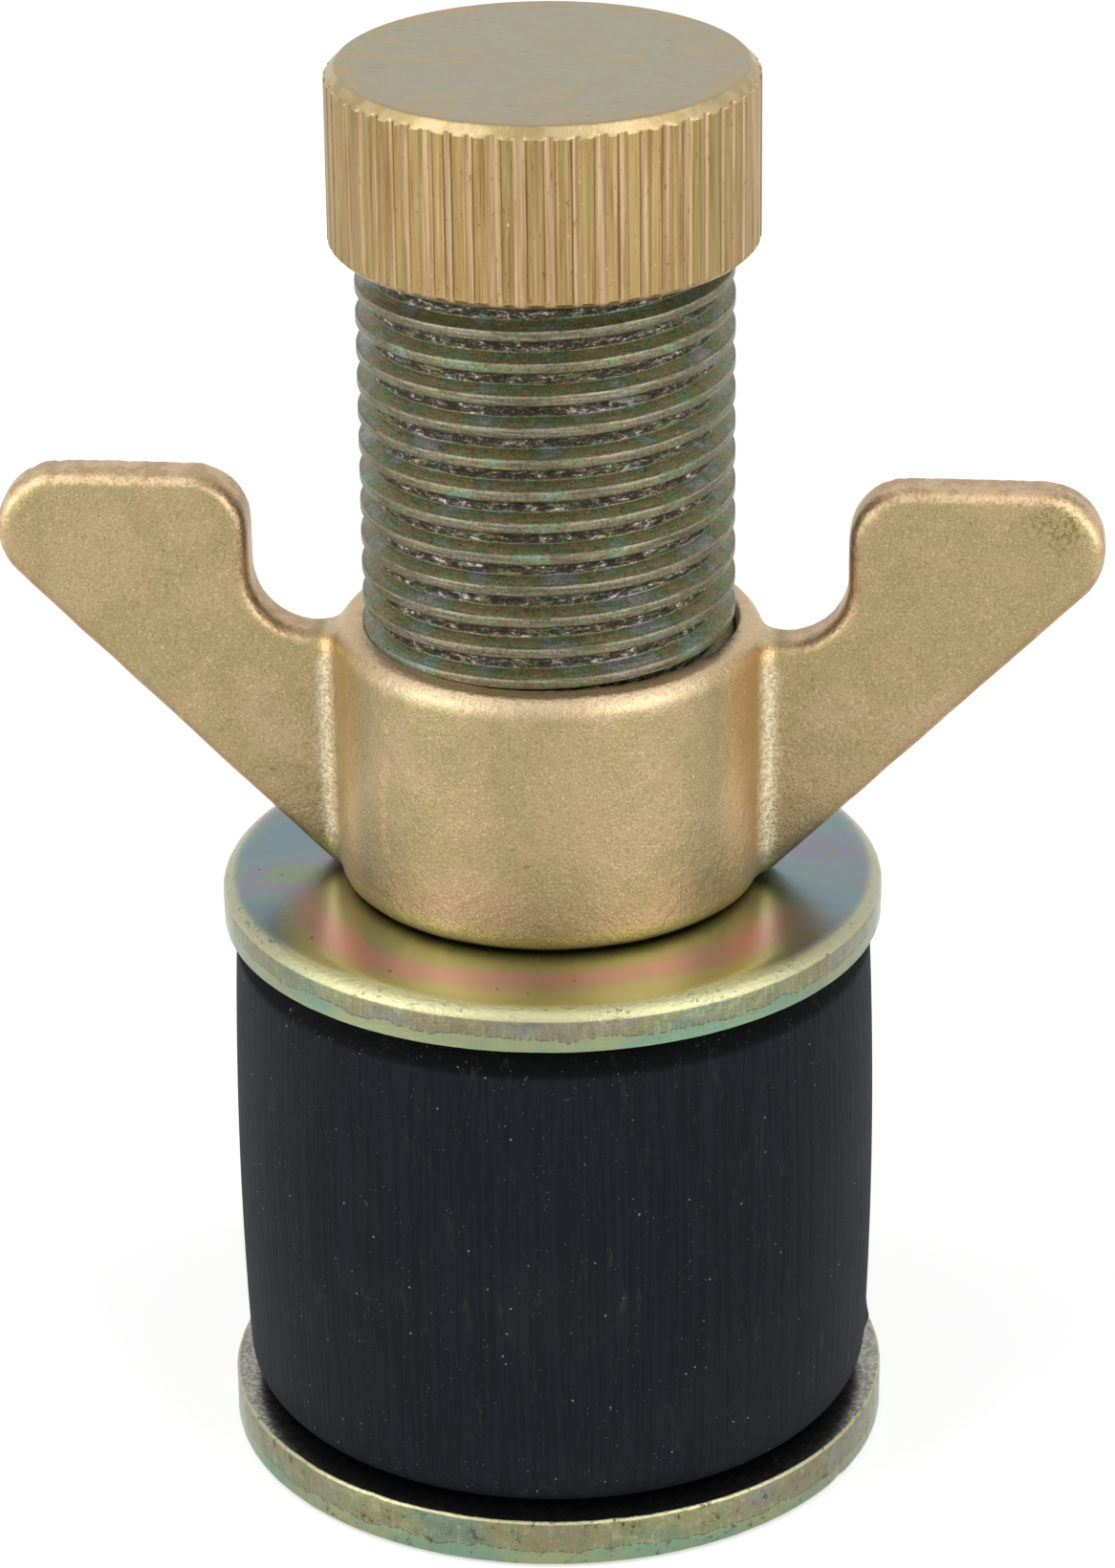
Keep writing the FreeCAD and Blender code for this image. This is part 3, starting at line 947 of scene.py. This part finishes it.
def place_camera():
    """The camera of the photograph, turned about the spindle to see the wings as it does."""
    start = Vector((0.0, -CAMERA_REACH, CAMERA_HEIGHT))
    forward = (Vector((0, 0, CAMERA_TARGET_HEIGHT)) - start).normalized()
    right = forward.cross(Vector((0, 0, 1))).normalized()
    up = right.cross(forward)
    cosine, sine = math.cos(CAMERA_YAW), math.sin(CAMERA_YAW)
    forward, right = cosine * forward + sine * right, cosine * right - sine * forward
    cosine, sine = math.cos(CAMERA_ROLL), math.sin(CAMERA_ROLL)
    right, up = cosine * right + sine * up, cosine * up - sine * right
    turn = Matrix((right, up, -forward)).transposed().to_4x4()
    matrix = Matrix.Translation(start * MM) @ turn
    data = bpy.data.cameras.new("camera")
    data.lens = CAMERA_LENS
    data.sensor_width = SENSOR_WIDTH
    data.clip_start = 0.01
    camera = bpy.data.objects.new("camera", data)
    camera.matrix_world = Matrix.Rotation(CAMERA_AZIMUTH, 4, "Z") @ matrix
    bpy.context.scene.collection.objects.link(camera)
    bpy.context.scene.camera = camera


def seen_directly(tree):
    """1 for rays from the camera, or that reach here by a mirror or through glass."""
    path = tree.nodes.new("ShaderNodeLightPath")
    total = path.outputs["Is Camera Ray"]
    for name in ("Is Glossy Ray", "Is Transmission Ray"):
        node = tree.nodes.new("ShaderNodeMath")
        node.operation = "MAXIMUM"
        tree.links.new(total, node.inputs[0])
        tree.links.new(path.outputs[name], node.inputs[1])
        total = node.outputs[0]
    return total


def far_lift(tree):
    """Glow of the floor: more of it far away, where the lamps fall off."""
    coordinates = tree.nodes.new("ShaderNodeTexCoord")
    away = tree.nodes.new("ShaderNodeVectorMath")
    away.operation = "LENGTH"
    tree.links.new(coordinates.outputs["Object"], away.inputs[0])
    glow = tree.nodes.new("ShaderNodeMapRange")
    tree.links.new(away.outputs["Value"], glow.inputs["Value"])
    glow.inputs["From Min"].default_value = FLOOR_GLOW_STARTS
    glow.inputs["From Max"].default_value = FLOOR_GLOW_ENDS
    glow.inputs["To Min"].default_value = FLOOR_GLOW_NEAR
    glow.inputs["To Max"].default_value = FLOOR_GLOW_FAR
    return glow.outputs["Result"]


def studio():
    surroundings()
    pale_floor()
    lamp("left", (-0.50, -0.34, 0.20), 0.46, 2.1)
    lamp("right", (0.48, -0.37, 0.20), 0.46, 2.1)
    lamp("top_left", (-0.38, -0.12, 0.62), 0.4, 0.9)
    lamp("top_right", (0.38, -0.12, 0.62), 0.4, 0.9)


def surroundings():
    """White to the eye and in mirrors, and weaker as a light."""
    world = bpy.data.worlds.new("studio")
    bpy.context.scene.world = world
    world.use_nodes = True
    tree = world.node_tree
    background = tree.nodes["Background"]
    background.inputs["Color"].default_value = (1, 1, 1, 1)
    strength = tree.nodes.new("ShaderNodeMapRange")
    tree.links.new(seen_directly(tree), strength.inputs["Value"])
    strength.inputs["To Min"].default_value = WORLD_LIGHT
    strength.inputs["To Max"].default_value = 1.0
    tree.links.new(strength.outputs["Result"], background.inputs["Strength"])


def pale_floor():
    low, high = -FLOOR_REACH, FLOOR_REACH
    mesh = bpy.data.meshes.new("floor")
    square = [(low, low, 0), (high, low, 0), (high, high, 0), (low, high, 0)]
    mesh.from_pydata(square, [], [(0, 1, 2, 3)])
    floor = bpy.data.objects.new("floor", mesh)
    bpy.context.scene.collection.objects.link(floor)
    floor.location.z = -FLOOR_DROP
    material = bpy.data.materials.new("floor")
    material.use_nodes = True
    tree = material.node_tree
    shader = tree.nodes["Principled BSDF"]
    shader.inputs["Base Color"].default_value = (0.86, 0.86, 0.86, 1)
    shader.inputs["Roughness"].default_value = 0.9
    shader.inputs["Specular IOR Level"].default_value = 0.1
    shader.inputs["Emission Color"].default_value = (1, 1, 1, 1)
    lift = tree.nodes.new("ShaderNodeMath")
    lift.operation = "MULTIPLY"
    tree.links.new(far_lift(tree), lift.inputs[1])
    tree.links.new(seen_directly(tree), lift.inputs[0])
    tree.links.new(lift.outputs[0], shader.inputs["Emission Strength"])
    mesh.materials.append(material)


def lamp(name, place, size, power):
    """A square soft box that faces the middle of the object."""
    data = bpy.data.lights.new(name, "AREA")
    data.size = size
    data.energy = power
    light = bpy.data.objects.new(name, data)
    light.location = place
    aim = Vector((0, 0, LAMP_AIM)) - Vector(place)
    light.rotation_euler = aim.to_track_quat("-Z", "Y").to_euler()
    bpy.context.scene.collection.objects.link(light)


bpy.context.scene.view_settings.view_transform = "Standard"
place_camera()
studio()

brass_casting = cast_brass()
brass_turning = turned_brass()
zinc_thread = olive_zinc()
zinc_top = zinc_plate("zinc_top_plate", PLATE_FOOT, PLATE_HEAD, True)
zinc_base = zinc_plate("zinc_base_plate", BASE_FOOT, BASE_HEAD, False)
rubber = black_rubber("seal_rubber", True)
washer_rubber = black_rubber("washer_rubber", False)

finished("threaded_tube", threaded_spindle(), zinc_thread, "root", ["spindle"], 60)
finished("foot_disc", base_disc(), zinc_base, "root", ["base_plate"])
sleeve = finished("rubber_sleeve", rubber_sleeve(), rubber, "root", ["rubber_seal"])
finished("washer_plate", top_washer(), zinc_top, "top_plate", ["top_plate"])
finished("winged_nut", casting(), brass_casting, "wing_nut", ["wing_nut"])
finished("knurled_cap", knurled_cap(), brass_turning, "blanking_cap", ["blanking_cap"])
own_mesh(sleeve)

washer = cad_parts["cap_seal"]
for place in washer.material_slots:
    place.material = washer_rubber

bpy.context.view_layer.update()
